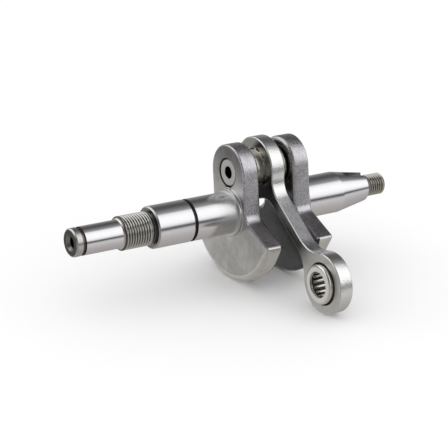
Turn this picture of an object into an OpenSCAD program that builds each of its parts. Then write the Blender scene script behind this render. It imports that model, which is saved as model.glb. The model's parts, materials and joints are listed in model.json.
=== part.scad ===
// Built-up crankshaft of a small two-stroke engine, with its connecting rod and both needle bearings.
// Two forged crank halves are pressed onto a hollow crank pin. The rod runs between the webs on a caged
// needle bearing, and carries a drawn-cup needle bearing for the piston's wrist pin.
//
// +X runs along the main axis from the clutch end to the flywheel end, +Z is up, and -Y is the side that
// the rod swings to. The origin is on the main axis, at the middle of the clutch-side main journal.
// At rest the shaft stands on its two counterweights and on the rod's small end.

/* [Webs and stroke] */
// Crank throw, half of the piston's stroke
throw = 14.25; // [13.5:0.05:15]
// Gap between the two crank webs
web_gap = 14.2; // [13:0.1:16]
// Thickness of each web
web_t = 6.9; // [6:0.1:9]
// Half width of each web's neck, also the radius of its rounded top
web_half_w = 10; // [9:0.1:11]
// Outer radius of the counterweights
weight_r = 25.2; // [24:0.1:26.5]
// Rounding of the counterweight's rim
weight_round = 1.8; // [0.5:0.1:2.4]
// Height, at the neck, of the shoulder where a counterweight starts
ledge_z = -1.5; // [-4:0.1:0]
// Slope of that shoulder below the horizontal, in degrees
ledge_slope = 30.5; // [20:0.5:40]
// Fillet between the neck and the shoulder
ledge_fillet = 3.5; // [1:0.1:4]

/* [Shafts] */
// Radius of the main journals
journal_r = 7.5; // [7.4:0.05:7.6]
// Radius of the thrust shoulder beside each web
shoulder_r = 8.7; // [8.2:0.1:9.5]
// Length of the thrust shoulder
shoulder_l = 1.3; // [0.8:0.1:2]
// Length of the clutch-side main journal, up to the snap-ring groove
main_journal_l = 16.4; // [14:0.1:18]
// Width of the snap-ring groove
ring_groove_w = 1.1; // [0.9:0.05:1.4]
// Radius at the bottom of the snap-ring groove
ring_groove_r = 7.1; // [6.8:0.05:7.3]
// Length of the seal journal outside the groove
seal_journal_l = 14.5; // [12:0.1:17]
// Major radius of the clutch thread
clutch_thread_r = 6; // [5.7:0.05:6.2]
// Length of the clutch thread
clutch_thread_l = 10.25; // [8:0.05:12]
// Length of the run-out groove behind the clutch thread
clutch_runout_l = 1.5; // [1:0.1:2.5]
// Radius of the stub that carries the clutch drum's bearing
stub_r = 5; // [4.6:0.05:5.2]
// Length of the stub
stub_l = 18.05; // [16:0.05:20]
// Distance from the stub's end to its clip groove
clip_groove_x = 2.55; // [2:0.05:4]
// Width of the clip groove
clip_groove_w = 1.15; // [0.9:0.05:1.5]
// Radius at the bottom of the clip groove
clip_groove_r = 4.45; // [4:0.05:4.7]
// Length of the flywheel-side main journal
flywheel_journal_l = 15.7; // [13:0.1:18]
// Length of the flywheel taper
taper_l = 13.05; // [11:0.05:15]
// Radius at the small end of the flywheel taper
taper_end_r = 5.25; // [5:0.05:6]
// Length of the neck between the taper and the flywheel thread
flywheel_neck_l = 1.35; // [0.8:0.05:2]
// Radius of that neck
flywheel_neck_r = 3.45; // [3.3:0.05:3.6]
// Major radius of the flywheel thread
flywheel_thread_r = 4; // [3.8:0.05:4.2]
// Length of the flywheel thread
flywheel_thread_l = 7.1; // [6:0.05:9]

/* [Keyway] */
// Width of the flywheel keyway
key_w = 3; // [2.5:0.1:3.2]
// Length of the keyway, which runs out at the small end of the taper
key_l = 9.3; // [8:0.1:11]
// Distance of the keyway's floor from the main axis
key_floor = 4.1; // [4.05:0.05:4.6]
// Turn of the keyway from the throw, towards -Y, in degrees
key_turn = 19.5; // [0:0.5:45]

/* [Crank pin and big end] */
// Radius of the crank pin
pin_r = 5; // [4.8:0.05:5.2]
// Radius of the hole through the crank pin
pin_hole_r = 2.2; // [1.8:0.1:2.6]
// How far each end of the pin stands back from the web's face
pin_recess = 0.2; // [0.1:0.05:0.4]
// Bore radius of the rod's big end
big_bore_r = 7; // [6.9:0.05:7.2]
// Number of needles in the big-end bearing
big_needles = 12; // [10:1:12]
// Length of the big-end needles
big_needle_l = 4.6; // [4:0.1:9]
// Overall width of the big-end cage
big_cage_w = 13.4; // [11:0.1:13.8]

/* [Connecting rod] */
// Distance between the rod's two bore centres
rod_l = 52; // [50:0.1:55]
// Thickness of the rod
rod_t = 5.4; // [5:0.1:5.8]
// Outer radius of the big end
big_end_r = 11.2; // [10.8:0.1:12]
// Outer radius of the small end
small_end_r = 10.7; // [10.2:0.1:11.2]
// Half width of the rod's shank
shank_half_w = 2.1; // [1.8:0.1:3]
// Fillet between the shank and the big end
big_fillet = 8; // [5:0.5:10]
// Fillet between the shank and the small end
small_fillet = 12; // [8:0.5:14]
// Chamfer at the mouths of both bores
bore_chamfer = 0.6; // [0.3:0.1:0.8]
// Angle between the crank throw's line and the rod at rest, in degrees
rod_swing = 48; // [40:0.5:56]

/* [Small-end bearing] */
// Outer radius of the drawn cup, which is pressed into the rod
cup_r = 7; // [6.9:0.05:7.2]
// Wall thickness of the drawn cup
cup_wall = 0.7; // [0.6:0.05:0.8]
// Width of the drawn cup
cup_w = 9; // [8:0.1:10]
// Thickness of the cup's two turned-in lips
lip_t = 0.9; // [0.6:0.1:1.2]
// Inner radius of the lips, a running fit on the wrist pin
lip_r = 4.55; // [4.5:0.01:4.6]
// Radius of the wrist pin that the needles leave room for
wrist_pin_r = 4.5; // [4.45:0.01:4.52]
// Number of needles in the small-end bearing
small_needles = 16; // [12:1:16]
// Length of the small-end needles
small_needle_l = 6; // [5:0.1:6.4]

/* [Hidden] */
$fn = 96;
thread_lead_in = 0.85;
edge_chamfer = 0.5;
runout_r = 5.2;
needle_clearance = 0.02;
centre_hole_r = 2.1;
centre_sink_r = 2.8;
centre_hole_depth = 7;

web_in = web_gap / 2;
web_out = web_in + web_t;
shaft_start = web_out + shoulder_l;
groove_in = shaft_start + main_journal_l;
groove_out = groove_in + ring_groove_w;
seal_end = groove_out + seal_journal_l;
runout_end = seal_end + clutch_runout_l;
clutch_thread_end = runout_end + clutch_thread_l;
stub_start = clutch_thread_end + thread_lead_in;
stub_end = stub_start + stub_l;
taper_start = shaft_start + flywheel_journal_l;
taper_end = taper_start + taper_l;
flywheel_thread_start = taper_end + flywheel_neck_l;
flywheel_end = flywheel_thread_start + flywheel_thread_l;
middle_x = shaft_start + main_journal_l / 2;

big_needle_r = (big_bore_r - pin_r) / 2 - needle_clearance;
big_pitch_r = (big_bore_r + pin_r) / 2;
cup_race_r = cup_r - cup_wall;
small_needle_r = (cup_race_r - wrist_pin_r) / 2 - needle_clearance;
small_pitch_r = (cup_race_r + wrist_pin_r) / 2;

// The rod's small end, measured from the main axis with the throw upright
small_y = -rod_l * sin(rod_swing);
small_z = throw - rod_l * cos(rod_swing);
// Leaning the throw back by this angle brings the small end and the counterweights to one level
lean = atan2(-small_z, -small_y) - asin((weight_r - small_end_r) / norm([small_y, small_z]));

function numbered(stem, n) = str(stem, n < 10 ? "_0" : "_", n);
function numbers(stem, count) = [for (n = [1 : count]) numbered(stem, n)];

// Turns an outline drawn as (y, z) into a plate of thickness t, centred on x = 0
module plate(t) {
    rotate([90, 0, 90]) linear_extrude(t, center = true) children();
}

// Turns an outline drawn as (radius, x) round the X axis
module turned() {
    rotate([90, 0, 90]) rotate_extrude() children();
}

// A cylinder along X from x0 to x1
module bar_x(r, x0, x1, r_end) {
    translate([x0, 0, 0]) rotate([90, 0, 90])
        cylinder(h = x1 - x0, r1 = r, r2 = is_undef(r_end) ? r : r_end);
}

// Places a child, drawn about the main axis at the middle of the gap, in the part's frame
module in_crank() {
    translate([middle_x, 0, 0]) rotate([-lean, 0, 0]) children();
}

// Places a child, drawn about the crank pin's axis
module at_pin() {
    in_crank() translate([0, 0, throw]) children();
}

// Places a child in the rod's own frame: the big end at the origin, the small end straight below it
module in_rod() {
    at_pin() rotate([-rod_swing, 0, 0]) children();
}

// Places a child about the small end's axis
module at_small_end() {
    in_rod() translate([0, 0, -rod_l]) children();
}

// Fills the corner between the neck's side and the shoulder of the counterweight
module ledge_corner() {
    rise = ledge_fillet * (1 - sin(ledge_slope)) / cos(ledge_slope);
    centre = [web_half_w + ledge_fillet, ledge_z + rise];
    foot = centre - ledge_fillet * [sin(ledge_slope), cos(ledge_slope)];
    difference() {
        polygon([[web_half_w - 1, centre[1]], [web_half_w, centre[1]], foot, foot - [0, 3],
                 [web_half_w - 1, ledge_z - 3]]);
        translate(centre) circle(ledge_fillet);
    }
}

// The half disc, cut off along its two sloping shoulders
module weight_outline() {
    reach = weight_r + 1;
    drop = (reach - web_half_w) * tan(ledge_slope);
    intersection() {
        circle(weight_r);
        union() {
            polygon([[-web_half_w, ledge_z], [web_half_w, ledge_z], [reach, ledge_z - drop],
                     [reach, -reach], [-reach, -reach], [-reach, ledge_z - drop]]);
            ledge_corner();
            mirror([1, 0]) ledge_corner();
        }
    }
}

// The neck that joins the counterweight to the rounded top round the crank pin
module neck_outline() {
    translate([0, throw]) circle(web_half_w);
    translate([-web_half_w, ledge_z - 3]) square([2 * web_half_w, throw - ledge_z + 3]);
}

// A disc of radius r and thickness t with rounded rims
module rounded_disc(r, t, rim) {
    turned() {
        translate([0, -t / 2]) square([r - rim, t]);
        translate([0, -t / 2 + rim]) square([r, t - 2 * rim]);
        translate([r - rim, -t / 2 + rim]) circle(rim);
        translate([r - rim, t / 2 - rim]) circle(rim);
    }
}

// One web, centred on x = 0, with its hole for the crank pin
module web() {
    difference() {
        union() {
            intersection() {
                plate(web_t) weight_outline();
                rounded_disc(weight_r, web_t, weight_round);
            }
            plate(web_t) neck_outline();
        }
        translate([0, 0, throw]) bar_x(pin_r, -web_t, web_t);
    }
}

// A centre-drilled hole of the given depth, opening at x = 0 towards +X
module centre_hole(depth) {
    sink = (centre_sink_r - centre_hole_r) * 1.7;
    bar_x(centre_hole_r, -depth, 1);
    bar_x(centre_hole_r, -sink, 0, centre_sink_r);
}

// The clutch side of the shaft, drawn along +X from the web outwards
module clutch_shaft() {
    c = edge_chamfer;
    difference() {
        turned() polygon([
            [0, web_out - 1], [shoulder_r, web_out - 1], [shoulder_r, shaft_start - 0.3],
            [shoulder_r - 0.3, shaft_start], [journal_r, shaft_start],
            [journal_r, groove_in], [ring_groove_r, groove_in],
            [ring_groove_r, groove_out], [journal_r, groove_out],
            [journal_r, seal_end - c], [journal_r - c, seal_end],
            [runout_r, seal_end], [runout_r, runout_end],
            [clutch_thread_r, runout_end], [clutch_thread_r, clutch_thread_end],
            [stub_r, stub_start],
            [stub_r, stub_end - clip_groove_x - clip_groove_w],
            [clip_groove_r, stub_end - clip_groove_x - clip_groove_w],
            [clip_groove_r, stub_end - clip_groove_x], [stub_r, stub_end - clip_groove_x],
            [stub_r, stub_end - c], [stub_r - c, stub_end], [0, stub_end]
        ]);
        translate([stub_end, 0, 0]) centre_hole(centre_hole_depth);
    }
}

// The flywheel side of the shaft, drawn along +X from the web outwards
module flywheel_shaft() {
    c = edge_chamfer;
    difference() {
        turned() polygon([
            [0, web_out - 1], [shoulder_r, web_out - 1], [shoulder_r, shaft_start - 0.3],
            [shoulder_r - 0.3, shaft_start], [journal_r, shaft_start],
            [journal_r, taper_start], [taper_end_r, taper_end],
            [flywheel_neck_r, taper_end], [flywheel_neck_r, flywheel_thread_start],
            [flywheel_thread_r, flywheel_thread_start], [flywheel_thread_r, flywheel_end - c],
            [flywheel_thread_r - c, flywheel_end], [0, flywheel_end]
        ]);
        rotate([key_turn, 0, 0]) keyway();
    }
}

// The milled slot for the flywheel key, above the main axis
module keyway() {
    translate([taper_end - key_l, -key_w / 2, key_floor]) cube([key_l + 0.5, key_w, journal_r]);
}

module clutch_side_crank_half() {
    color("silver") in_crank() {
        translate([-web_in - web_t / 2, 0, 0]) web();
        mirror([1, 0, 0]) clutch_shaft();
    }
}

module flywheel_side_crank_half() {
    color("lightgray") in_crank() {
        translate([web_in + web_t / 2, 0, 0]) web();
        flywheel_shaft();
    }
}

module crank_pin() {
    half = web_out - pin_recess;
    c = edge_chamfer;
    color("gainsboro") at_pin() turned() polygon([
        [pin_hole_r, -half], [pin_r - c, -half], [pin_r, c - half], [pin_r, half - c],
        [pin_r - c, half], [pin_hole_r, half]
    ]);
}

// Widens the shank where it meets an eye of radius r, with a fillet of radius f on each side
module eye_fillet(r, f) {
    centre_y = shank_half_w + f;
    reach = sqrt((r + f) * (r + f) - centre_y * centre_y);
    difference() {
        polygon([[0, 0], [-centre_y, -reach], [centre_y, -reach]]);
        for (side = [-1, 1]) translate([side * centre_y, -reach]) circle(f);
    }
}

module rod_outline() {
    circle(big_end_r);
    translate([0, -rod_l]) circle(small_end_r);
    translate([-shank_half_w, -rod_l]) square([2 * shank_half_w, rod_l]);
    eye_fillet(big_end_r, big_fillet);
    translate([0, -rod_l]) mirror([0, 1]) eye_fillet(small_end_r, small_fillet);
}

// A bore of radius r through the rod, with a chamfer at each mouth
module chamfered_bore(r) {
    half = rod_t / 2;
    bar_x(r, -rod_t, rod_t);
    for (side = [0, 1]) {
        mirror([side, 0, 0]) bar_x(r, half - bore_chamfer, half + 0.1, r + bore_chamfer + 0.1);
    }
}

module connecting_rod() {
    color("darkgray") in_rod() difference() {
        plate(rod_t) rod_outline();
        chamfered_bore(big_bore_r);
        translate([0, 0, -rod_l]) chamfered_bore(cup_r);
    }
}

// Two end rings joined by bars that stand between the needles
module cage(width, needle_l, ring_in, ring_out, bar_in, bar_out, bar_w, count) {
    pocket = needle_l / 2 + 0.05;
    for (side = [0, 1]) {
        mirror([side, 0, 0]) difference() {
            bar_x(ring_out, pocket, width / 2);
            bar_x(ring_in, pocket - 1, width / 2 + 1);
        }
    }
    for (n = [1 : count]) {
        rotate([(n + 0.5) * 360 / count, 0, 0])
            translate([-pocket - 0.2, -bar_w / 2, bar_in])
            cube([2 * pocket + 0.4, bar_w, bar_out - bar_in]);
    }
}

module big_end_cage() {
    color("peru") at_pin()
        cage(big_cage_w, big_needle_l, pin_r + 0.3, big_bore_r - 0.12, pin_r + 0.5, big_bore_r - 0.3,
             1, big_needles);
}

module small_end_cup() {
    half = cup_w / 2;
    rim = 1;
    color("gainsboro") at_small_end() difference() {
        rounded_disc(cup_r, cup_w, rim);
        bar_x(lip_r, -half - 1, half + 1);
        bar_x(cup_race_r, lip_t - half, half - lip_t);
    }
}

module small_end_cage() {
    color("peru") at_small_end()
        cage(cup_w - 2 * lip_t - 0.2, small_needle_l, lip_r, cup_race_r - 0.1,
             lip_r, lip_r + 0.4, 0.3, small_needles);
}

// Needle number n of a ring of them round x
module needle(n, count, pitch_r, r, l) {
    rotate([n * 360 / count, 0, 0]) translate([0, 0, pitch_r]) bar_x(r, -l / 2, l / 2);
}

module big_end_needle(n) {
    color("white") at_pin() needle(n, big_needles, big_pitch_r, big_needle_r, big_needle_l);
}

module small_end_needle(n) {
    color("white") at_small_end()
        needle(n, small_needles, small_pitch_r, small_needle_r, small_needle_l);
}

clutch_side_crank_half();
flywheel_side_crank_half();
crank_pin();
connecting_rod();
big_end_cage();
small_end_cup();
small_end_cage();
for (n = [1 : big_needles]) {
    big_end_needle(n);
}
for (n = [1 : small_needles]) {
    small_end_needle(n);
}
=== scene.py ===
# The crankshaft's looks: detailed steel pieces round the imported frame, a pale floor and soft studio light.
# Lengths are in millimetres until a piece is placed, and in metres from then on.
import json
import math

import bmesh
import bpy
from mathutils import Matrix, Vector
from mathutils.geometry import tessellate_polygon


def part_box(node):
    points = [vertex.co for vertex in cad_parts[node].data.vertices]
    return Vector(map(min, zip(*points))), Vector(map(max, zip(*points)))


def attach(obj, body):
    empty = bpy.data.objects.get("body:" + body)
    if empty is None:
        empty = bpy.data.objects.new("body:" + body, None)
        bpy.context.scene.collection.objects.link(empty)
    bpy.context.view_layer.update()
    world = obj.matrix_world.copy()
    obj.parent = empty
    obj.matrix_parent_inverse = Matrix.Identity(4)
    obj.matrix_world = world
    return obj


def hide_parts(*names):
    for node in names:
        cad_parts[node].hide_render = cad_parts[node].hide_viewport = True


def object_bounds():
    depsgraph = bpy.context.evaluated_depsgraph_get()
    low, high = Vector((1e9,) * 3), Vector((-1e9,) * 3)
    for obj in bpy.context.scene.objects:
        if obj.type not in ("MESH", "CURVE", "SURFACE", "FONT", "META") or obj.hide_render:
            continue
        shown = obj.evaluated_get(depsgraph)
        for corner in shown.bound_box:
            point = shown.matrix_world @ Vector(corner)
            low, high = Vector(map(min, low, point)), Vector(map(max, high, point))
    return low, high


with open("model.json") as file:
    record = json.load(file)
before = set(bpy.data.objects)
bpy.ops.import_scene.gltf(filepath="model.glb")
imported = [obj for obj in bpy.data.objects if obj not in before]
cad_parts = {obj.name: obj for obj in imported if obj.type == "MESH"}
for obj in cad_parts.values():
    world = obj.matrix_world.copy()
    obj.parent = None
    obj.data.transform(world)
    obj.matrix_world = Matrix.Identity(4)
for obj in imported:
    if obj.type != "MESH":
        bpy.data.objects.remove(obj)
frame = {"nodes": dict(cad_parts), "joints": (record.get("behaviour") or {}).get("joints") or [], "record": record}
cad_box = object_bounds()

# ---------------------------------------------------------------- where the frame says things are

MM = 0.001
joints = {joint["name"]: joint for joint in frame["joints"]}
mounts = {mount["name"]: mount for mount in frame["record"]["mounts"]}
pin_axis = Vector(joints["rod_swing"]["pos_m"]) / MM
small_axis = Vector(joints["small_end_cage_roll"]["pos_m"]) / MM
rod_line = small_axis - pin_axis

middle_x = pin_axis.x
throw = math.hypot(pin_axis.y, pin_axis.z)
lean = math.atan2(pin_axis.y, pin_axis.z)
rod_l = rod_line.length
rod_turn = math.atan2(rod_line.y, -rod_line.z)

to_metres = Matrix.Scale(MM, 4)
in_crank = to_metres @ Matrix.Translation((middle_x, 0, 0)) @ Matrix.Rotation(-lean, 4, "X")
in_clutch_half = in_crank @ Matrix.Scale(-1, 4, (1, 0, 0))
at_pin = in_crank @ Matrix.Translation((0, 0, throw))
in_rod = to_metres @ Matrix.Translation(pin_axis) @ Matrix.Rotation(rod_turn, 4, "X")
at_small_end = in_rod @ Matrix.Translation((0, 0, -rod_l))


def reach(node, far=True):
    """How far a node reaches from the middle of the web gap, along the main axis."""
    low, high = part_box(node)
    return high.x / MM - middle_x if far else middle_x - low.x / MM


def length_of(node):
    """A node's length along the main axis."""
    low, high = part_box(node)
    return (high.x - low.x) / MM


def needles_of(bearing):
    """The nodes of a bearing's needles, in order."""
    return sorted(name for name in frame["nodes"] if name.startswith(bearing + "_needle"))


def mount_span(name):
    """The two ends of a mount's round wall, measured outwards from the middle of the web gap."""
    mount = mounts[name]
    middle = abs(mount["pos_m"][0] / MM - middle_x)
    half = mount["dims"]["length_mm"] / 2
    return middle - half, middle + half


def mount_radius(name):
    return mounts[name]["dims"]["r_mm"]


# ---------------------------------------------------------------- sizes

# How finely shapes are cut: points round a turned piece and a needle, the step of an arc, steps round an
# edge and a corner, and rings in a millimetre of thread
ROUND = 120
NEEDLE_ROUND = 32
ARC_STEP = math.radians(4)
EDGE_STEPS = 6
CORNER_STEPS = 4
THREAD_RINGS = 12
# Width of the narrow steps beside an edge, which keep the shading of long faces straight
GUARD = 0.14
# The most of a profile's side that the rounding of one corner may take
CORNER_SHARE = 0.4
# Edges that turn more than this stay sharp
SHARP = math.radians(32)

web_gap = 14.2
web_in = web_gap / 2
pin_recess = 0.2
web_out = reach("crank_pin") + pin_recess
web_half_w = 10
weight_r = 25.2
ledge_z = -1.5
ledge_slope = math.radians(30.5)
ledge_fillet = 3.5
# The corner between a ledge and the rim, and the angle over which the rim's edge narrows towards it
ledge_corner = 1.1
rim_taper = 0.15
# How far the web's edges are rounded, on the counterweight's rim and on the neck with its top
outer_edge = {"rim": 2.3, "neck": 0.6}
gap_edge = {"rim": 1.5, "neck": 1.5}
pin_bore_chamfer = 0.3

journal_r = mount_radius("clutch_side_main_journal")
shoulder_r = 8.7
shaft_start, groove_in = mount_span("clutch_side_main_journal")
groove_out, seal_chamfer = mount_span("clutch_side_seal_journal")
step_chamfer = 0.5
seal_end = seal_chamfer + step_chamfer
ring_groove_r = 7.1
runout_r = 5.2
clutch_thread_r = mount_radius("clutch_thread")
clutch_thread_start, clutch_thread_end = mount_span("clutch_thread")
stub_r = mount_radius("clutch_drum_seat")
stub_start, clip_groove_in = mount_span("clutch_drum_seat")
clip_groove_w = 1.15
clip_groove_out = clip_groove_in + clip_groove_w
clip_groove_r = 4.45
stub_end = reach("clutch_side_crank_half", far=False)
centre_hole_r = 2.1
centre_sink_r = 2.8
centre_sink = 1.2
centre_hole_depth = 7

flywheel_start, taper_start = mount_span("flywheel_side_main_journal")
flywheel_thread_r = mount_radius("flywheel_thread")
flywheel_thread_start, flywheel_thread_end = mount_span("flywheel_thread")
flywheel_end = reach("flywheel_side_crank_half")
flywheel_neck_r = 3.45
flywheel_neck_l = 1.35
taper_end = flywheel_thread_start - flywheel_neck_l
taper_end_r = 5.25
thread_pitch = 1
thread_depth = 0.6
thread_run_in = 0.45
key_w = 3
key_l = 9.3
key_floor = 4.1
key_turn = math.radians(19.5)

pin_r = 5
pin_hole_r = 2.2
big_bore_r = 7
rod_t = reach("connecting_rod") * 2
big_end_r = 11.2
small_end_r = 10.7
shank_half_w = 2.1
big_fillet = 8
small_fillet = 12
bore_chamfer = 0.6
rod_rounding = 0.45

cup_r = 7
cup_race_r = 6.3
cup_w = mounts["wrist_pin_bore"]["dims"]["length_mm"]
lip_r = mount_radius("wrist_pin_bore")
lip_t = 0.9
needle_play = 0.05

# The inner and outer radius of each cage's end rings, the same for its bars with their width, and its flange
big_cage_ring = (pin_r + 0.3, big_bore_r - 0.12)
big_cage_bar = (pin_r + 0.5, big_bore_r - 0.3, 1)
big_cage_flange = 1
small_cage_ring = (lip_r, cup_race_r - 0.1)
small_cage_bar = (lip_r, lip_r + 0.4, 0.3)
small_cage_flange = 0


# ---------------------------------------------------------------- node trees

class Wire:
    """One value in a node tree. Arithmetic on it adds Math nodes."""

    def __init__(self, board, socket):
        self.board = board
        self.socket = socket

    def math(self, operation, *others, clamp=False):
        return self.board.math(operation, self, *others, clamp=clamp)

    def __add__(self, other):
        return self.math("ADD", other)

    __radd__ = __add__

    def __sub__(self, other):
        return self.math("SUBTRACT", other)

    def __rsub__(self, other):
        return self.board.math("SUBTRACT", other, self)

    def __mul__(self, other):
        return self.math("MULTIPLY", other)

    __rmul__ = __mul__

    def __truediv__(self, other):
        return self.math("DIVIDE", other)

    def clamped(self):
        """The value, kept between 0 and 1."""
        return self.math("ADD", 0.0, clamp=True)

    def fade(self, start, end):
        """A straight ramp: 0 up to the start, and 1 from the end on."""
        return ((self - start) / (end - start)).clamped()


class Board:
    """A node tree, with one way to add a node to it."""

    def __init__(self, tree):
        self.tree = tree
        self.tree.nodes.clear()

    def node(self, kind, settings=None, values=None, out=0):
        """Adds a node: first its settings, or a ramp's stops, and then what its sockets hold or read."""
        node = self.tree.nodes.new(kind)
        for name, value in (settings or {}).items():
            if name == "stops":
                self.set_stops(node.color_ramp, value)
            else:
                setattr(node, name, value)
        for name, value in (values or {}).items():
            if isinstance(value, Wire):
                self.tree.links.new(value.socket, node.inputs[name])
            else:
                node.inputs[name].default_value = value
        return Wire(self, node.outputs[out]) if len(node.outputs) else None

    def math(self, operation, *values, clamp=False):
        settings = {"operation": operation, "use_clamp": clamp}
        return self.node("ShaderNodeMath", settings, dict(enumerate(values)))

    def set_stops(self, ramp, stops):
        while len(ramp.elements) < len(stops):
            ramp.elements.new(1.0)
        for element, (place, colour) in zip(ramp.elements, stops):
            element.position = place
            element.color = (*colour, 1)

    def parts(self, vector):
        """The X, Y and Z of a vector."""
        split = self.tree.nodes.new("ShaderNodeSeparateXYZ")
        self.tree.links.new(vector.socket, split.inputs[0])
        return [Wire(self, socket) for socket in split.outputs]

    def vector(self, x, y, z):
        return self.node("ShaderNodeCombineXYZ", values={"X": x, "Y": y, "Z": z})


# ---------------------------------------------------------------- finishes

def noise(board, vector, scale, detail=2.0, roughness=0.5):
    values = {"Vector": vector, "Scale": scale, "Detail": detail, "Roughness": roughness}
    return board.node("ShaderNodeTexNoise", values=values)


def place_in_mm(board):
    where = board.node("ShaderNodeTexCoord", out="Object")
    return board.node("ShaderNodeVectorMath", {"operation": "SCALE"}, {0: where, "Scale": 1 / MM})


def off_axis(y, z):
    """Distance from the main axis."""
    return (y * y + z * z).math("SQRT")


def forged_grain(board, place):
    """Shot-blasted forging: soft patches under a fine, sharp grain."""
    patches = noise(board, place, 0.22, 3)
    grain = noise(board, place, 2.4, 3, 0.65)
    return (patches * 0.5 + grain * 1.5 - 0.5).clamped(), grain


def ground_lines(board, place):
    """Grinding marks that run round the main axis."""
    x, y, z = board.parts(place)
    lines = noise(board, board.vector(x * 3.2, y * 0.06, z * 0.06), 1.0, 4, 0.7)
    cloud = noise(board, place, 0.3, 2)
    return (lines * 0.75 + cloud * 0.35).clamped(), lines


def faced_rings(board, place):
    """Turning marks on a face, in rings round the main axis."""
    x, y, z = board.parts(place)
    rings = noise(board, board.vector(off_axis(y, z) * 2.4, x * 0.1, 0.0), 1.0, 3, 0.6)
    cloud = noise(board, place, 0.5, 2)
    return (rings * 0.7 + cloud * 0.4).clamped(), rings


def satin_grain(board, place):
    """Tumbled steel: a fine even grain with faint clouds."""
    cloud = noise(board, place, 0.35, 3)
    grain = noise(board, place, 4.5, 2, 0.6)
    return (cloud * 0.7 + grain * 0.35).clamped(), grain


def satin_forging(board, place):
    """A machined forging: broad soft patches under a fine grain."""
    broad = noise(board, place, 0.09, 3)
    cloud = noise(board, place, 0.35, 3)
    grain = noise(board, place, 4.5, 2, 0.6)
    return (broad * 1.4 + cloud * 0.3 + grain * 0.35 - 0.55).clamped(), grain


def mix_colour(board, factor, first, second):
    settings = {"data_type": "RGBA"}
    colours = {6: first if isinstance(first, Wire) else (*first, 1),
               7: second if isinstance(second, Wire) else (*second, 1)}
    return board.node("ShaderNodeMix", settings, {0: factor, **colours}, out=2)


def multiply_colour(board, first, second):
    settings = {"data_type": "RGBA", "blend_type": "MULTIPLY"}
    return board.node("ShaderNodeMix", settings, {0: 1.0, 6: first, 7: second}, out=2)


finishes = {}


def steel(name, pattern, dark, light, rough, relief, worn=None):
    """A steel finish: two tones and two roughnesses that follow one pattern, with its relief in microns.

    worn may give a function for the share of the surface, from 0 to 1, that takes a second tone and roughness, and
    that tone and roughness."""
    material = bpy.data.materials.new(name)
    material.use_nodes = True
    board = Board(material.node_tree)
    place = place_in_mm(board)
    mask, height = pattern(board, place)
    colour = mix_colour(board, mask, dark, light)
    roughness = rough[0] + mask * (rough[1] - rough[0])
    if worn:
        worn_share, worn_tone, worn_rough = worn
        share = worn_share(board, place, mask)
        colour = mix_colour(board, share, colour, worn_tone)
        roughness = roughness + share * (worn_rough - roughness)
    bump = board.node("ShaderNodeBump", values={"Strength": 1.0, "Distance": relief * 1e-6, "Height": height})
    values = {"Base Color": colour, "Metallic": 1.0, "Roughness": roughness, "Normal": bump}
    shader = board.node("ShaderNodeBsdfPrincipled", values=values)
    board.node("ShaderNodeOutputMaterial", values={"Surface": shader})
    finishes[name] = material


def thread_roots(major_r):
    """Darkens a thread towards its root."""
    def share(board, place, mask):
        x, y, z = board.parts(place)
        return off_axis(y, z).fade(major_r, major_r - thread_depth)
    return share


def foot_haze(board, place, mask):
    """The clutch-side main journal is hazier towards its web, over a stretch of 8 mm."""
    x, y, z = board.parts(place)
    foot = middle_x - shaft_start
    return x.fade(foot - 9, foot - 1) * x.fade(middle_x, middle_x - 5)


def lobe_shade(board, place, mask):
    """The web's top, round the crank pin, is duller than the rest."""
    x, y, z = board.parts(place)
    return z.fade(9, 21) * (1.1 - mask * 0.6).clamped()


def from_pin_along_rod(board, place):
    """How far along the rod a place is from the crank pin."""
    direction = rod_line.normalized()
    values = {0: place, 1: tuple(direction)}
    along = board.node("ShaderNodeVectorMath", {"operation": "DOT_PRODUCT"}, values, out="Value")
    return along - direction.dot(pin_axis)


def thrust_polish(board, place, mask):
    """The big end's faces run close to the webs and are lapped smooth."""
    return from_pin_along_rod(board, place).fade(18, 12)


def rod_wear(board, place, mask):
    """Tumbling has polished the rod's rim round both of its eyes, and left the shank as it was forged."""
    from_pin = from_pin_along_rod(board, place)
    eyes = from_pin.fade(21, 13) + from_pin.fade(rod_l - 13, rod_l - 7)
    return eyes * (1.25 - mask * 0.5).clamped()


# The webs
steel("satin_web", satin_forging, (0.34, 0.34, 0.33), (0.80, 0.80, 0.79), (0.20, 0.34), 16,
      worn=(lobe_shade, (0.16, 0.16, 0.16), 0.42))
# The webs' faces and rim in the gap are near black: painted shade between the two webs
steel("web_gap_face", forged_grain, (0.02, 0.02, 0.02), (0.14, 0.15, 0.15), (0.16, 0.28), 20)
steel("weight_rim", satin_grain, (0.62, 0.61, 0.59), (0.99, 0.98, 0.95), (0.26, 0.40), 10)
steel("tumbled_rim", forged_grain, (0.34, 0.33, 0.35), (0.98, 0.96, 1.0), (0.20, 0.36), 80)
steel("forged_ledge", forged_grain, (0.01, 0.01, 0.01), (0.58, 0.55, 0.58), (0.26, 0.44), 120)

# The shafts
steel("ground_journal", ground_lines, (0.87, 0.86, 0.89), (0.98, 0.97, 1.0), (0.12, 0.18), 1.2,
      worn=(foot_haze, (0.84, 0.84, 0.84), 0.42))
steel("turned_shoulder", ground_lines, (0.60, 0.60, 0.61), (0.90, 0.90, 0.90), (0.18, 0.30), 4)
steel("faced_step", faced_rings, (0.52, 0.52, 0.53), (0.80, 0.80, 0.80), (0.22, 0.34), 4)
steel("undercut", faced_rings, (0.06, 0.06, 0.06), (0.40, 0.40, 0.39), (0.16, 0.30), 4)
# Near black: painted shade in the grooves, at the clutch thread's run-out and on the chamfers of the pin bores and
# the small-end bore
steel("ring_groove", ground_lines, (0.02, 0.02, 0.02), (0.08, 0.08, 0.08), (0.30, 0.45), 3)
steel("tempered_edge", ground_lines, (0.05, 0.04, 0.04), (0.34, 0.27, 0.22), (0.22, 0.34), 3)
steel("clutch_thread", ground_lines, (0.86, 0.84, 0.80), (1.0, 0.99, 0.95), (0.14, 0.24), 2,
      worn=(thread_roots(clutch_thread_r), (0.05, 0.05, 0.04), 0.4))
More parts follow.
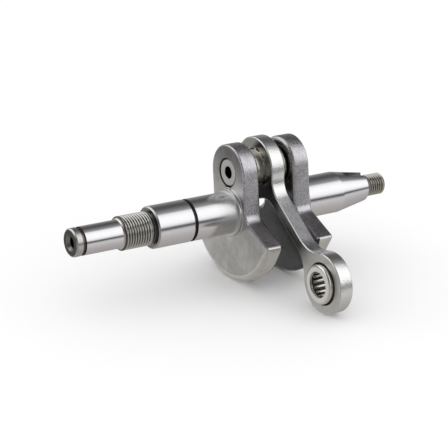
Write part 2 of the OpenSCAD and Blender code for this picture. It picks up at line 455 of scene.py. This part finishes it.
steel("flywheel_thread", ground_lines, (0.62, 0.60, 0.53), (0.94, 0.92, 0.84), (0.16, 0.28), 2,
      worn=(thread_roots(flywheel_thread_r), (0.05, 0.04, 0.03), 0.4))
steel("shaft_end", faced_rings, (0.03, 0.03, 0.02), (0.14, 0.13, 0.12), (0.30, 0.44), 8)
steel("drilled_hole", faced_rings, (0.03, 0.03, 0.03), (0.12, 0.12, 0.12), (0.35, 0.50), 6)
steel("milled_keyway", satin_grain, (0.20, 0.20, 0.19), (0.55, 0.55, 0.53), (0.26, 0.40), 5)

# The crank pin, the rod and the bearings
steel("crank_pin_end", satin_grain, (0.50, 0.50, 0.49), (0.80, 0.80, 0.79), (0.28, 0.42), 8)
steel("rod_face", satin_grain, (0.38, 0.38, 0.37), (0.86, 0.86, 0.83), (0.24, 0.40), 20,
      worn=(thrust_polish, (0.36, 0.36, 0.34), 0.16))
steel("rod_rim", forged_grain, (0.20, 0.20, 0.21), (0.95, 0.93, 0.97), (0.24, 0.44), 80,
      worn=(rod_wear, (0.97, 0.97, 0.97), 0.13))
steel("rod_edge", satin_grain, (0.74, 0.74, 0.73), (0.97, 0.97, 0.96), (0.18, 0.28), 4)
# Dark tone of the bore walls, the races and the crank pin: painted shade inside the bores
steel("hardened_race", satin_grain, (0.20, 0.19, 0.17), (0.40, 0.38, 0.35), (0.14, 0.24), 1)
steel("drawn_cup", satin_grain, (0.86, 0.84, 0.80), (1.0, 0.99, 0.96), (0.15, 0.24), 3)
steel("pressed_cage", satin_grain, (0.66, 0.63, 0.55), (0.96, 0.93, 0.85), (0.16, 0.26), 2)
# The small end's cage is near black: painted shade inside the small end's bore
steel("oiled_cage", satin_grain, (0.03, 0.03, 0.02), (0.12, 0.11, 0.09), (0.22, 0.34), 3)
steel("bearing_needle", satin_grain, (0.66, 0.65, 0.62), (0.86, 0.85, 0.82), (0.10, 0.18), 0.6)


# ---------------------------------------------------------------- building skins

class Skin:
    """A closed skin, built ring by ring in millimetres, with a finish on each stretch."""

    def __init__(self):
        self.mesh = bmesh.new()
        self.names = []

    def number(self, name):
        """A finish's place among the finishes of this skin."""
        if name not in self.names:
            self.names.append(name)
        return self.names.index(name)

    def face(self, corners, name):
        self.mesh.faces.new(corners).material_index = self.number(name)

    def ring(self, points):
        return [self.mesh.verts.new(point) for point in points]

    def strip(self, ring, following, names):
        """Joins two rings in one finish or a list of them. A ring of one point is a pole."""
        count = max(len(ring), len(following))
        for n in range(count):
            m = (n + 1) % count
            name = names if isinstance(names, str) else names[n]
            if len(following) == 1:
                self.face((ring[n], ring[m], following[0]), name)
            elif len(ring) == 1:
                self.face((ring[0], following[m], following[n]), name)
            else:
                self.face((ring[n], ring[m], following[m], following[n]), name)

    def cap(self, rings, name):
        """Fills a flat face between an outer ring and the rings of its holes."""
        corners = [corner for ring in rings for corner in ring]
        for triangle in tessellate_polygon([[corner.co for corner in ring] for ring in rings]):
            self.face([corners[n] for n in triangle], name)

    def circle(self, x, r, centre_z=0.0, count=ROUND):
        """A ring round the X axis; at no radius it is a pole."""
        if r < 1e-6:
            return self.ring([(x, 0, centre_z)])
        angles = [2 * math.pi * n / count for n in range(count)]
        return self.ring([(x, r * math.cos(a), centre_z + r * math.sin(a)) for a in angles])

    def lathe(self, stations, closed=False, centre_z=0.0, count=ROUND):
        """Turns (x, radius, finish) stations round X, and returns their rings."""
        rings = [self.circle(x, r, centre_z, count) for x, r, _ in stations]
        for n in range(len(rings) - 1):
            self.strip(rings[n], rings[n + 1], stations[n][2])
        if closed:
            self.strip(rings[-1], rings[0], stations[-1][2])
        return rings


def rounded(corners, closed=False):
    """Rounds the corners (x, radius, rounding, finish) of a lathe profile and returns its stations.

    Each finish is that of the stretch after its corner, so the last of an open profile has none."""
    count = len(corners)
    stations = []
    for n, (x, r, rounding, name) in enumerate(corners):
        here = Vector((x, r))
        if not closed and n in (0, count - 1):
            stations.append((x, r, name))
            continue
        before = Vector(corners[n - 1][:2]) - here
        after = Vector(corners[(n + 1) % count][:2]) - here
        turn = math.pi - before.angle(after)
        room = min(before.length, after.length) * CORNER_SHARE
        cut = min(rounding * math.tan(turn / 2), room)
        start = here + before.normalized() * cut
        end = here + after.normalized() * cut
        for step in range(CORNER_STEPS + 1):
            t = step / CORNER_STEPS
            point = start * (1 - t) ** 2 + here * (2 * t * (1 - t)) + end * t ** 2
            stations.append((point.x, point.y, name))
    return guarded(stations, closed)


def guarded(stations, closed):
    """Adds narrow guard steps at the ends of each long stretch, or enough rings to carry a thread."""
    more = []
    for n, (x, r, name) in enumerate(stations):
        more.append((x, r, name))
        if n == len(stations) - 1 and not closed:
            break
        here = Vector((x, r))
        step = Vector(stations[(n + 1) % len(stations)][:2]) - here
        if step.length < 4 * GUARD:
            continue
        shares = [GUARD / step.length, 1 - GUARD / step.length]
        if name.endswith("thread"):
            rings = round(step.length * THREAD_RINGS)
            shares = [k / rings for k in range(1, rings)]
        more += [(*(here + step * share), name) for share in shares]
    return more


def arc(centre, radius, start, end, rounding):
    """Outline points (place, outward normal, edge rounding) along an arc. One that turns back is hollow.

    rounding is the edge's rounding at the start and at the end."""
    side = 1 if end > start else -1
    count = max(4, math.ceil(abs(end - start) / ARC_STEP))
    points = []
    for n in range(count + 1):
        share = n / count
        angle = start + (end - start) * share
        spoke = Vector((math.cos(angle), math.sin(angle)))
        soft = rounding[0] * (1 - share) + rounding[1] * share
        points.append((Vector(centre) + spoke * radius, spoke * side, soft))
    return points


def mirrored(points):
    """The other half of an outline that is symmetric about the vertical."""
    flip = Vector((-1, 1))
    return [(place * flip, normal * flip, rounding) for place, normal, rounding in reversed(points)]


def joined(*arcs):
    """Joins arcs into one outline, without the points that they share."""
    points = []
    for point in (point for stretch in arcs for point in stretch):
        if not points or (point[0] - points[-1][0]).length > 1e-3:
            points.append(point)
    return points


def whole(right_half):
    """A closed outline from its right half, which runs from the lowest point up to the highest."""
    return right_half + mirrored(right_half)[1:-1]


def moved(skin, outline, x, inset):
    """A ring of an outline, drawn in by a share of its edge rounding. x turns that into a place on X."""
    points = []
    for place, normal, rounding in outline:
        inner = place - normal * (rounding * inset)
        points.append((x(rounding), inner.x, inner.y))
    return skin.ring(points)


def plate_side(skin, outline, x, outwards, edge, face):
    """The rounded edge of a plate towards one face, and a guard ring on that face. Returns its rings."""
    rings = []
    for n in range(EDGE_STEPS + 1):
        turn = math.pi / 2 * n / EDGE_STEPS
        depth = 1 - math.sin(turn)
        inset = 1 - math.cos(turn)
        rings.append(moved(skin, outline, lambda rounding: x - outwards * rounding * depth, inset))
    rings.append(moved(skin, outline, lambda rounding: x, 1 + 2 * GUARD))
    for n in range(EDGE_STEPS):
        skin.strip(rings[n], rings[n + 1], edge)
    skin.strip(rings[EDGE_STEPS], rings[EDGE_STEPS + 1], face)
    return rings


def bore_mouth(skin, x, outwards, r, chamfer, centre_z, face, edge):
    """The chamfered mouth of a bore: its ring on the face and its ring on the wall."""
    # The bore's wall takes the painted shade inside a bore
    stations = [(x, r + chamfer + 2 * GUARD, face), (x, r + chamfer, edge),
                (x - outwards * chamfer, r, "hardened_race"),
                (x - outwards * (chamfer + GUARD), r, "hardened_race")]
    rings = skin.lathe(stations, centre_z=centre_z)
    return rings[0], rings[-1]


# ---------------------------------------------------------------- finishing pieces

def to_object(name, skin, placing):
    """Turns a skin into an object whose place is in its mesh."""
    bmesh.ops.transform(skin.mesh, matrix=placing, verts=skin.mesh.verts)
    bmesh.ops.recalc_face_normals(skin.mesh, faces=skin.mesh.faces)
    mesh = bpy.data.meshes.new(name)
    skin.mesh.to_mesh(mesh)
    skin.mesh.free()
    for used in skin.names:
        mesh.materials.append(finishes[used])
    smooth(mesh)
    piece = bpy.data.objects.new(name, mesh)
    bpy.context.scene.collection.objects.link(piece)
    return piece


def smooth(mesh):
    """Smooth shading, except over sharp edges."""
    mesh.polygons.foreach_set("use_smooth", [True] * len(mesh.polygons))
    mesh.set_sharp_from_angle(angle=SHARP)


def settle(piece):
    """Replaces a piece's mesh and modifiers with the plain mesh that they make."""
    bpy.context.view_layer.update()
    evaluated = piece.evaluated_get(bpy.context.evaluated_depsgraph_get())
    mesh = bpy.data.meshes.new_from_object(evaluated)
    piece.modifiers.clear()
    piece.data = mesh
    smooth(mesh)


def stand_for(piece, node, body):
    """Puts a piece in a node's place, on the body that moves it."""
    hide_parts(node)
    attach(piece, body)


def add_nodes(piece, tree, values):
    """Adds a Geometry Nodes modifier and sets its inputs by their names."""
    modifier = piece.modifiers.new(tree.name, "NODES")
    modifier.node_group = tree
    for item in tree.interface.items_tree:
        if item.in_out == "INPUT" and item.name in values:
            modifier[item.identifier] = values[item.name]


def new_tree(name, sizes):
    """A Geometry Nodes tree that takes a mesh and the named sizes, which are (socket type, default)."""
    tree = bpy.data.node_groups.new(name, "GeometryNodeTree")
    tree.interface.new_socket("Geometry", in_out="OUTPUT", socket_type="NodeSocketGeometry")
    tree.interface.new_socket("Geometry", in_out="INPUT", socket_type="NodeSocketGeometry")
    for title, (kind, default) in sizes.items():
        socket = tree.interface.new_socket(title, in_out="INPUT", socket_type=kind)
        if default is not None:
            socket.default_value = default
    board = Board(tree)
    entry = tree.nodes.new("NodeGroupInput")
    return tree, board, {socket.name: Wire(board, socket) for socket in entry.outputs if socket.name}


def thread_tree():
    """Cuts a helical thread round the X axis into the rings of a plain cylinder.

    Its flanks lie between a short flat at the root and one at the crest, and it fades out at both ends."""
    length = "NodeSocketFloat"
    sizes = {"Start": (length, 0.0), "End": (length, 0.01), "Pitch": (length, 0.001),
             "Depth": (length, 0.0006), "Run-in": (length, 0.0004), "Finish": ("NodeSocketMaterial", None)}
    tree, board, size = new_tree("helical_thread", sizes)
    x, y, z = board.parts(board.node("GeometryNodeInputPosition"))
    turn = z.math("ARCTAN2", y) / (2 * math.pi)
    phase = (x / size["Pitch"] - turn).math("FRACT")
    flank = ((phase - 0.5).math("ABSOLUTE") * 2.6 - 0.15).clamped()
    entry = ((x - size["Start"]) / size["Run-in"]).clamped()
    leaving = ((size["End"] - x) / size["Run-in"]).clamped()
    cut = entry * leaving
    share = 1 - flank * cut * size["Depth"] / off_axis(y, z)
    where = board.vector(x, y * share, z * share)
    inside = cut.math("GREATER_THAN", 0.0)
    shaped = board.node("GeometryNodeSetPosition", values={"Geometry": size["Geometry"], "Position": where})
    plain = board.node("GeometryNodeRealizeInstances", values={"Geometry": shaped})
    values = {"Geometry": plain, "Selection": inside, "Material": size["Finish"]}
    dressed = board.node("GeometryNodeSetMaterial", values=values)
    board.node("NodeGroupOutput", values={"Geometry": dressed})
    return tree


def repeat_tree():
    """Repeats a mesh round the X axis."""
    sizes = {"Count": ("NodeSocketInt", 12), "Finish": ("NodeSocketMaterial", None)}
    tree, board, size = new_tree("repeat_round_axis", sizes)
    points = board.node("GeometryNodePoints", values={"Count": size["Count"]})
    angle = board.node("GeometryNodeInputIndex") * (2 * math.pi) / size["Count"]
    values = {"Points": points, "Instance": size["Geometry"], "Rotation": board.vector(angle, 0.0, 0.0)}
    copies = board.node("GeometryNodeInstanceOnPoints", values=values)
    plain = board.node("GeometryNodeRealizeInstances", values={"Geometry": copies})
    dressed = board.node("GeometryNodeSetMaterial", values={"Geometry": plain, "Material": size["Finish"]})
    board.node("NodeGroupOutput", values={"Geometry": dressed})
    return tree


# ---------------------------------------------------------------- the two crank halves

def web_outline(rim, neck):
    """The counterweight, the neck and the rounded top round the crank pin, about the main axis.

    rim and neck are the edge roundings of the counterweight and of the neck with its top. The corner's centre
    is where a line under the ledge and a circle inside the rim cross, both a corner's radius in."""
    upwards = Vector((math.sin(ledge_slope), math.cos(ledge_slope)))
    level = upwards.dot(Vector((web_half_w, ledge_z))) - ledge_corner
    along = Vector((upwards.y, -upwards.x))
    corner = upwards * level + along * math.sqrt((weight_r - ledge_corner) ** 2 - level ** 2)
    rim_end = math.atan2(corner.y, corner.x)
    rise = ledge_fillet * (1 - math.sin(ledge_slope)) / math.cos(ledge_slope)
    hollow = (web_half_w + ledge_fillet, ledge_z + rise)
    return whole(joined(
        arc((0, 0), weight_r, -math.pi / 2, rim_end - rim_taper, (rim, rim)),
        arc((0, 0), weight_r, rim_end - rim_taper, rim_end, (rim, ledge_corner)),
        arc(corner, ledge_corner, rim_end, math.pi / 2 - ledge_slope, (ledge_corner, neck)),
        arc(hollow, ledge_fillet, -math.pi / 2 - ledge_slope, -math.pi, (neck, neck)),
        arc((0, throw), web_half_w, 0, math.pi / 2, (neck, neck)),
    ))


def rim_finishes(shape):
    """The finish of each stretch of a web's rim: the counterweight is turned, and the ledges are rough.

    The ledges are the only long stretches that aren't upright."""
    names = []
    for n, (place, *_) in enumerate(shape):
        step = shape[(n + 1) % len(shape)][0] - place
        turned = min(place.length, (place + step).length) > weight_r - 0.5
        ledge = step.length > 4 and abs(step.x) > 2
        names.append("weight_rim" if turned else "forged_ledge" if ledge else "tumbled_rim")
    return names


def web_shoulder(thrust_end):
    """The first corners of either shaft: its foot on the web, the thrust shoulder and the main journal."""
    return [
        (web_out, shoulder_r + 0.7, 0, "satin_web"),
        (web_out, shoulder_r, 0.5, "turned_shoulder"),
        (thrust_end, shoulder_r, 0.5, "faced_step"),
        (thrust_end, journal_r, 0.25, "ground_journal"),
    ]


def square_groove(span, radii, roundings, names):
    """The four corners of a square groove, with the finish after each.

    radii and roundings are each those of its edge and of its bottom."""
    places = ((span[0], 0), (span[0], 1), (span[1], 1), (span[1], 0))
    return [(x, radii[deep], roundings[deep], name) for (x, deep), name in zip(places, names)]


def on_cone(share):
    """A corner on the cone between the clutch thread and the stub."""
    return (clutch_thread_end + (stub_start - clutch_thread_end) * share,
            clutch_thread_r + (stub_r - clutch_thread_r) * share)


def clutch_shaft():
    """From the web out: main journal, snap-ring groove, seal journal, thread, stub and centre hole."""
    # The grooves' walls take the near-black painted shade
    snap_ring_groove = square_groove((groove_in, groove_out), (journal_r, ring_groove_r), (0.15, 0.08),
                                     ("ring_groove", "ring_groove", "ring_groove", "ground_journal"))
    clip_groove = square_groove((clip_groove_in, clip_groove_out), (stub_r, clip_groove_r), (0.12, 0.08),
                                ("ring_groove", "tempered_edge", "ring_groove", "faced_step"))
    return [
        *web_shoulder(shaft_start),
        *snap_ring_groove,
        (seal_chamfer, journal_r, 0.2, "faced_step"),
        (seal_end, journal_r - step_chamfer, 0.1, "undercut"),
        (seal_end, runout_r, 0.3, "undercut"),
        (clutch_thread_start, runout_r, 0.2, "undercut"),
        (clutch_thread_start, clutch_thread_r, 0.15, "clutch_thread"),
        (clutch_thread_end, clutch_thread_r, 0.1, "ring_groove"),
        (*on_cone(0.2), 0.05, "tempered_edge"),
        (*on_cone(0.55), 0.05, "turned_shoulder"),
        (stub_start, stub_r, 0.5, "ground_journal"),
        *clip_groove,
        (stub_end - step_chamfer, stub_r, 0.12, "faced_step"),
        (stub_end, stub_r - step_chamfer, 0.1, "shaft_end"),
        (stub_end, centre_sink_r, 0.1, "milled_keyway"),
        (stub_end - centre_sink, centre_hole_r, 0.2, "drilled_hole"),
        (stub_end - centre_hole_depth, centre_hole_r, 0.2, "drilled_hole"),
        (stub_end - centre_hole_depth, 0, 0, ""),
    ]


def flywheel_shaft():
    """From the web out: main journal, taper, neck and thread."""
    return [
        *web_shoulder(flywheel_start),
        (taper_start, journal_r, 0.4, "ground_journal"),
        (taper_end - 0.3, taper_end_r + 0.05, 0.1, "faced_step"),
        (taper_end, taper_end_r - 0.3, 0.1, "faced_step"),
        (taper_end, flywheel_neck_r, 0.3, "turned_shoulder"),
        (flywheel_thread_start, flywheel_neck_r, 0.1, "turned_shoulder"),
        (flywheel_thread_start, flywheel_thread_r, 0.12, "flywheel_thread"),
        (flywheel_thread_end, flywheel_thread_r, 0.1, "tempered_edge"),
        (flywheel_end, flywheel_thread_r - step_chamfer, 0.1, "shaft_end"),
        (flywheel_end, 0, 0, ""),
    ]


def crank_half(name, shaft, placing):
    """One forging: the web with its pin bore, and the shaft that grows out of its outer face."""
    skin = Skin()
    gap_shape = web_outline(**gap_edge)
    outer_shape = web_outline(**outer_edge)
    names = rim_finishes(gap_shape)
    # On the gap side the turned rim, the face and the bore's mouth take the painted shade of the gap
    dark_names = ["web_gap_face" if name == "weight_rim" else name for name in names]
    inner = plate_side(skin, gap_shape, web_in, -1, dark_names, "web_gap_face")
    outer = plate_side(skin, outer_shape, web_out, 1, names, "satin_web")
    skin.strip(inner[0], outer[0], names)
    mouths = []
    walls = []
    for x, outwards, face in ((web_in, -1, "web_gap_face"), (web_out, 1, "satin_web")):
        # The pin bore's chamfers take the near-black painted shade
        mouth, wall = bore_mouth(skin, x, outwards, pin_r, pin_bore_chamfer, throw, face, "ring_groove")
        mouths.append(mouth)
        walls.append(wall)
    # The pin bore's wall takes the painted shade inside a bore
    skin.strip(*walls, "hardened_race")
    foot = skin.lathe(rounded(shaft))[0]
    skin.cap([inner[-1], mouths[0]], "web_gap_face")
    skin.cap([outer[-1], mouths[1], foot], "satin_web")
    return to_object(name, skin, placing)


def cut_keyway(piece):
    """Mills the slot for the flywheel key, which runs out at the small end of the taper."""
    run_out = 1
    cutter = Skin()
    cutter.number("milled_keyway")
    bmesh.ops.create_cube(cutter.mesh, size=1)
    size = Matrix.Diagonal((key_l + run_out, key_w, journal_r, 1))
    middle = Matrix.Translation((taper_end + (run_out - key_l) / 2, 0, key_floor + journal_r / 2))
    bmesh.ops.transform(cutter.mesh, matrix=middle @ size, verts=cutter.mesh.verts)
    bmesh.ops.bevel(cutter.mesh, geom=cutter.mesh.edges[:], offset=0.12, segments=2, affect="EDGES")
    slot = to_object("keyway_cutter", cutter, in_crank @ Matrix.Rotation(key_turn, 4, "X"))
    boolean = piece.modifiers.new("keyway", "BOOLEAN")
    boolean.object = slot
    boolean.solver = "EXACT"
    boolean.material_mode = "TRANSFER"
    settle(piece)
    bpy.data.objects.remove(slot)


def cut_thread(piece, start, end, material):
    """Cuts a thread between two places on the main axis."""
    sizes = {"Start": start * MM, "End": end * MM, "Pitch": thread_pitch * MM, "Depth": thread_depth * MM,
             "Run-in": thread_run_in * MM, "Finish": finishes[material]}
    add_nodes(piece, helical_thread, sizes)
    settle(piece)


helical_thread = thread_tree()
clutch_half = crank_half("clutch_side_crank", clutch_shaft(), in_clutch_half)
cut_thread(clutch_half, middle_x - clutch_thread_end, middle_x - clutch_thread_start, "clutch_thread")
stand_for(clutch_half, "clutch_side_crank_half", "crank")

flywheel_half = crank_half("flywheel_side_crank", flywheel_shaft(), in_crank)
cut_keyway(flywheel_half)
cut_thread(flywheel_half, middle_x + flywheel_thread_start, middle_x + flywheel_thread_end, "flywheel_thread")
stand_for(flywheel_half, "flywheel_side_crank_half", "crank")


# ---------------------------------------------------------------- crank pin, rod and cup

def turned_piece(name, corners, placing):
    """A piece turned from a closed profile."""
    skin = Skin()
    skin.lathe(rounded(corners, closed=True), closed=True)
    return to_object(name, skin, placing)


def crank_pin():
    """The hollow pin that is pressed through both webs."""
    end = web_out - pin_recess
    return turned_piece("hollow_crank_pin", [
        (-end, pin_hole_r, 0.25, "crank_pin_end"),
        # The pin's round face takes the painted shade inside the bores
        (-end, pin_r, 0.5, "hardened_race"),
        (end, pin_r, 0.5, "crank_pin_end"),
        (end, pin_hole_r, 0.25, "drilled_hole"),
    ], at_pin)


def drawn_cup():
    """The cup of the small end's bearing, with its lips turned in over the needles."""
    end = cup_w / 2
    inside = end - lip_t
    return turned_piece("drawn_cup", [
        (-end, lip_r, 0.2, "drawn_cup"),
        (-end, cup_r, 1.0, "drawn_cup"),
        (end, cup_r, 1.0, "drawn_cup"),
        (end, lip_r, 0.2, "drawn_cup"),
        # Inside, the cup's race takes the painted shade
        (inside, lip_r, 0.1, "hardened_race"),
        (inside, cup_race_r, 0.1, "hardened_race"),
        (-inside, cup_race_r, 0.1, "hardened_race"),
        (-inside, lip_r, 0.1, "drawn_cup"),
    ], at_small_end)


def fillet_centre(eye_r, fillet):
    """Where the fillet beside the shank is centred, from the centre of its eye."""
    across = shank_half_w + fillet
    return across, math.sqrt((eye_r + fillet) ** 2 - across ** 2)


def rod_outline():
    """The two eyes and the slim shank, with the big end about the origin."""
    edge = (rod_rounding, rod_rounding)
    small_across, small_reach = fillet_centre(small_end_r, small_fillet)
    big_across, big_reach = fillet_centre(big_end_r, big_fillet)
    small_lean = math.atan2(small_reach, small_across)
    big_lean = math.atan2(big_reach, big_across)
    return whole(joined(
        arc((0, -rod_l), small_end_r, -math.pi / 2, small_lean, edge),
        arc((small_across, small_reach - rod_l), small_fillet, small_lean - math.pi, -math.pi, edge),
        arc((big_across, -big_reach), big_fillet, math.pi, math.pi - big_lean, edge),
        arc((0, 0), big_end_r, -big_lean, math.pi / 2, edge),
    ))


def connecting_rod():
    """One forging with a bore through each eye."""
    skin = Skin()
    shape = rod_outline()
    # The small-end bore's chamfer takes the near-black painted shade
    bores = ((big_bore_r, bore_chamfer, 0, "rod_face", "rod_edge"),
             (cup_r, bore_chamfer, -rod_l, "rod_face", "ring_groove"))
    sides = []
    for side in (-1, 1):
        x = side * rod_t / 2
        rings = plate_side(skin, shape, x, side, "rod_edge", "rod_face")
        mouths, walls = zip(*(bore_mouth(skin, x, side, *bore) for bore in bores))
        skin.cap([rings[-1], *mouths], "rod_face")
        sides.append((rings[0], *walls))
    # The bores' walls take the painted shade inside a bore
    for ring, opposite, name in zip(*sides, ("rod_rim", "hardened_race", "hardened_race")):
        skin.strip(ring, opposite, name)
    return to_object("forged_rod", skin, in_rod)


stand_for(crank_pin(), "crank_pin", "crank")
stand_for(connecting_rod(), "connecting_rod", "connecting_rod")
stand_for(drawn_cup(), "small_end_cup", "connecting_rod")


# ---------------------------------------------------------------- needle bearings

repeat_round_axis = repeat_tree()


def cage_bars(bar, length, count, material):
    """The bars between the needles, as one mesh about the X axis."""
    bar_in, bar_out, bar_w = bar
    skin = Skin()
    skin.number(material)
    bmesh.ops.create_cube(skin.mesh, size=1)
    size = Matrix.Diagonal((length, bar_w, bar_out - bar_in, 1))
    middle = Matrix.Translation((0, 0, (bar_in + bar_out) / 2))
    turn = Matrix.Rotation(math.pi / count, 4, "X")
    bmesh.ops.transform(skin.mesh, matrix=turn @ middle @ size, verts=skin.mesh.verts)
    bmesh.ops.bevel(skin.mesh, geom=skin.mesh.edges[:], offset=bar_w * 0.15, segments=2, affect="EDGES")
    bars = to_object("cage_bars", skin, Matrix.Identity(4))
    add_nodes(bars, repeat_round_axis, {"Count": count, "Finish": finishes[material]})
    settle(bars)
    return bars


def end_ring(side, end, pocket, ring, flange, material):
    """The profile of one end ring, between the pockets and the cage's end, where a flange may stand."""
    inner, outer = ring
    corners = [(side * pocket, inner, 0.12), (side * end, inner, 0.25), (side * end, outer, 0.25)]
    if flange:
        corners += [(side * (end - flange), outer, 0.2), (side * (end - flange - 0.15), outer - 0.25, 0.05),
                    (side * pocket, outer - 0.15, 0.12)]
    else:
        corners += [(side * pocket, outer, 0.12)]
    return rounded([(*corner, material) for corner in corners], closed=True)


def needle_cage(bearing, ring, bar, flange, placing, material):
    """A bearing's cage: two end rings that are joined by a bar between each two needles.

    ring is the end rings' inner and outer radius, and bar the bars' inner and outer radius and width."""
    node = bearing + "_cage"
    needles = needles_of(bearing)
    pocket = length_of(needles[0]) / 2 + needle_play
    overlap = 0.2
    skin = Skin()
    skin.number(material)
    bars = cage_bars(bar, 2 * (pocket + overlap), len(needles), material)
    skin.mesh.from_mesh(bars.data)
    bpy.data.objects.remove(bars)
    for side in (-1, 1):
        skin.lathe(end_ring(side, length_of(node) / 2, pocket, ring, flange, material), closed=True)
    piece = to_object(bearing + "_needle_cage", skin, placing)
    stand_for(piece, node, node)


def needle(node):
    """One needle with rounded ends, on its own spin axis."""
    low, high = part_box(node)
    half = length_of(node) / 2
    r = (high.z - low.z) / 2 / MM
    profile = [(-half, 0, 0), (-half, r, r * 0.45), (half, r, r * 0.45), (half, 0, 0)]
    skin = Skin()
    skin.lathe(rounded([(*corner, "bearing_needle") for corner in profile]), count=NEEDLE_ROUND)
    axis = Vector(joints[node + "_spin"]["pos_m"]) / MM
    piece = to_object(node.replace("end_needle", "end_roller"), skin, to_metres @ Matrix.Translation(axis))
    stand_for(piece, node, node)


for needle_node in needles_of("big_end") + needles_of("small_end"):
    needle(needle_node)

needle_cage("big_end", big_cage_ring, big_cage_bar, big_cage_flange, at_pin, "pressed_cage")
# The small end's cage takes the near-black painted shade
needle_cage("small_end", small_cage_ring, small_cage_bar, small_cage_flange, at_small_end, "oiled_cage")


# ---------------------------------------------------------------- floor, light and camera

def pale_floor():
    """A matt white floor. Polished steel sees the studio's grey table in its place."""
    material = bpy.data.materials.new("pale_floor")
    material.use_nodes = True
    board = Board(material.node_tree)
    matt = board.node("ShaderNodeBsdfDiffuse", values={"Color": (0.93, 0.93, 0.93, 1)})
    board.node("ShaderNodeOutputMaterial", values={"Surface": matt})
    level = cad_box[0][2]
    half = 3.0
    mesh = bpy.data.meshes.new("floor")
    mesh.from_pydata([(-half, -half, level), (half, -half, level), (half, half, level), (-half, half, level)],
                     [], [(0, 1, 2, 3)])
    mesh.materials.append(material)
    floor = bpy.data.objects.new("floor", mesh)
    floor.visible_glossy = False
    bpy.context.scene.collection.objects.link(floor)


# What the studio shows to polished steel, round the X axis: degrees up from the back, and brightness
STUDIO = [
    (0, 0.30), (15, 0.24), (37, 0.11), (49, 0.08), (62, 0.09), (72, 0.14), (84, 0.22), (95, 0.32),
    (103, 0.86), (120, 1.04), (140, 1.06), (158, 0.98), (168, 0.78), (174, 0.30), (179, 0.04), (184, 0.08),
    (189, 0.36), (197, 0.60), (212, 0.52), (235, 0.43), (262, 0.38), (290, 0.35), (335, 0.30), (360, 0.30),
]


def studio_seen(board, direction):
    """What polished steel sees of the studio in a direction.

    Towards the flywheel end the angles start at the back, and towards the clutch end at the front."""
    x, y, z = board.parts(direction)
    side = x.fade(-0.1, 0.1) * 2 - 1
    angle = (z.math("ARCTAN2", y * side) / (2 * math.pi)).math("FRACT")
    stops = [(degrees / 360, (light, light, light)) for degrees, light in STUDIO]
    seen = board.node("ShaderNodeValToRGB", {"stops": stops}, {0: angle})
    warmth = z.fade(0.083, -0.75)
    tinted = mix_colour(board, warmth * 0.5, (1, 1, 1), (1.0, 0.93, 0.84))
    return multiply_colour(board, seen, tinted)


def studio_light():
    """A white tent overhead with a dark edge behind it and a dark line at its foot, over a grey table."""
    world = bpy.data.worlds.new("studio")
    bpy.context.scene.world = world
    world.use_nodes = True
    world.cycles.sampling_method = "NONE"
    board = Board(world.node_tree)
    seen = studio_seen(board, board.node("ShaderNodeTexCoord", out="Generated"))
    glossy = board.node("ShaderNodeLightPath", out="Is Glossy Ray")
    soft_white = (1.1, 1.1, 1.1)
    colour = mix_colour(board, glossy, soft_white, seen)
    light = board.node("ShaderNodeBackground", values={"Color": colour, "Strength": 1.0})
    board.node("ShaderNodeOutputWorld", values={"Surface": light})


def camera():
    """A long lens from the clutch end's side, a little above the shaft."""
    place = Vector((-334.6, -509.3, 229.5)) * MM
    turned = math.radians(33.88)
    tipped = math.radians(20.85)
    rolled = math.radians(2.2)
    lens = bpy.data.cameras.new("camera")
    lens.sensor_width = 36
    lens.lens = 149.3
    lens.clip_start = 0.02
    eye = bpy.data.objects.new("camera", lens)
    aim = Matrix.Rotation(-turned, 4, "Z") @ Matrix.Rotation(math.pi / 2 - tipped, 4, "X")
    eye.matrix_world = Matrix.Translation(place) @ aim @ Matrix.Rotation(rolled, 4, "Z")
    bpy.context.scene.collection.objects.link(eye)
    bpy.context.scene.camera = eye


pale_floor()
studio_light()
camera()
bpy.context.scene.view_settings.view_transform = "Standard"
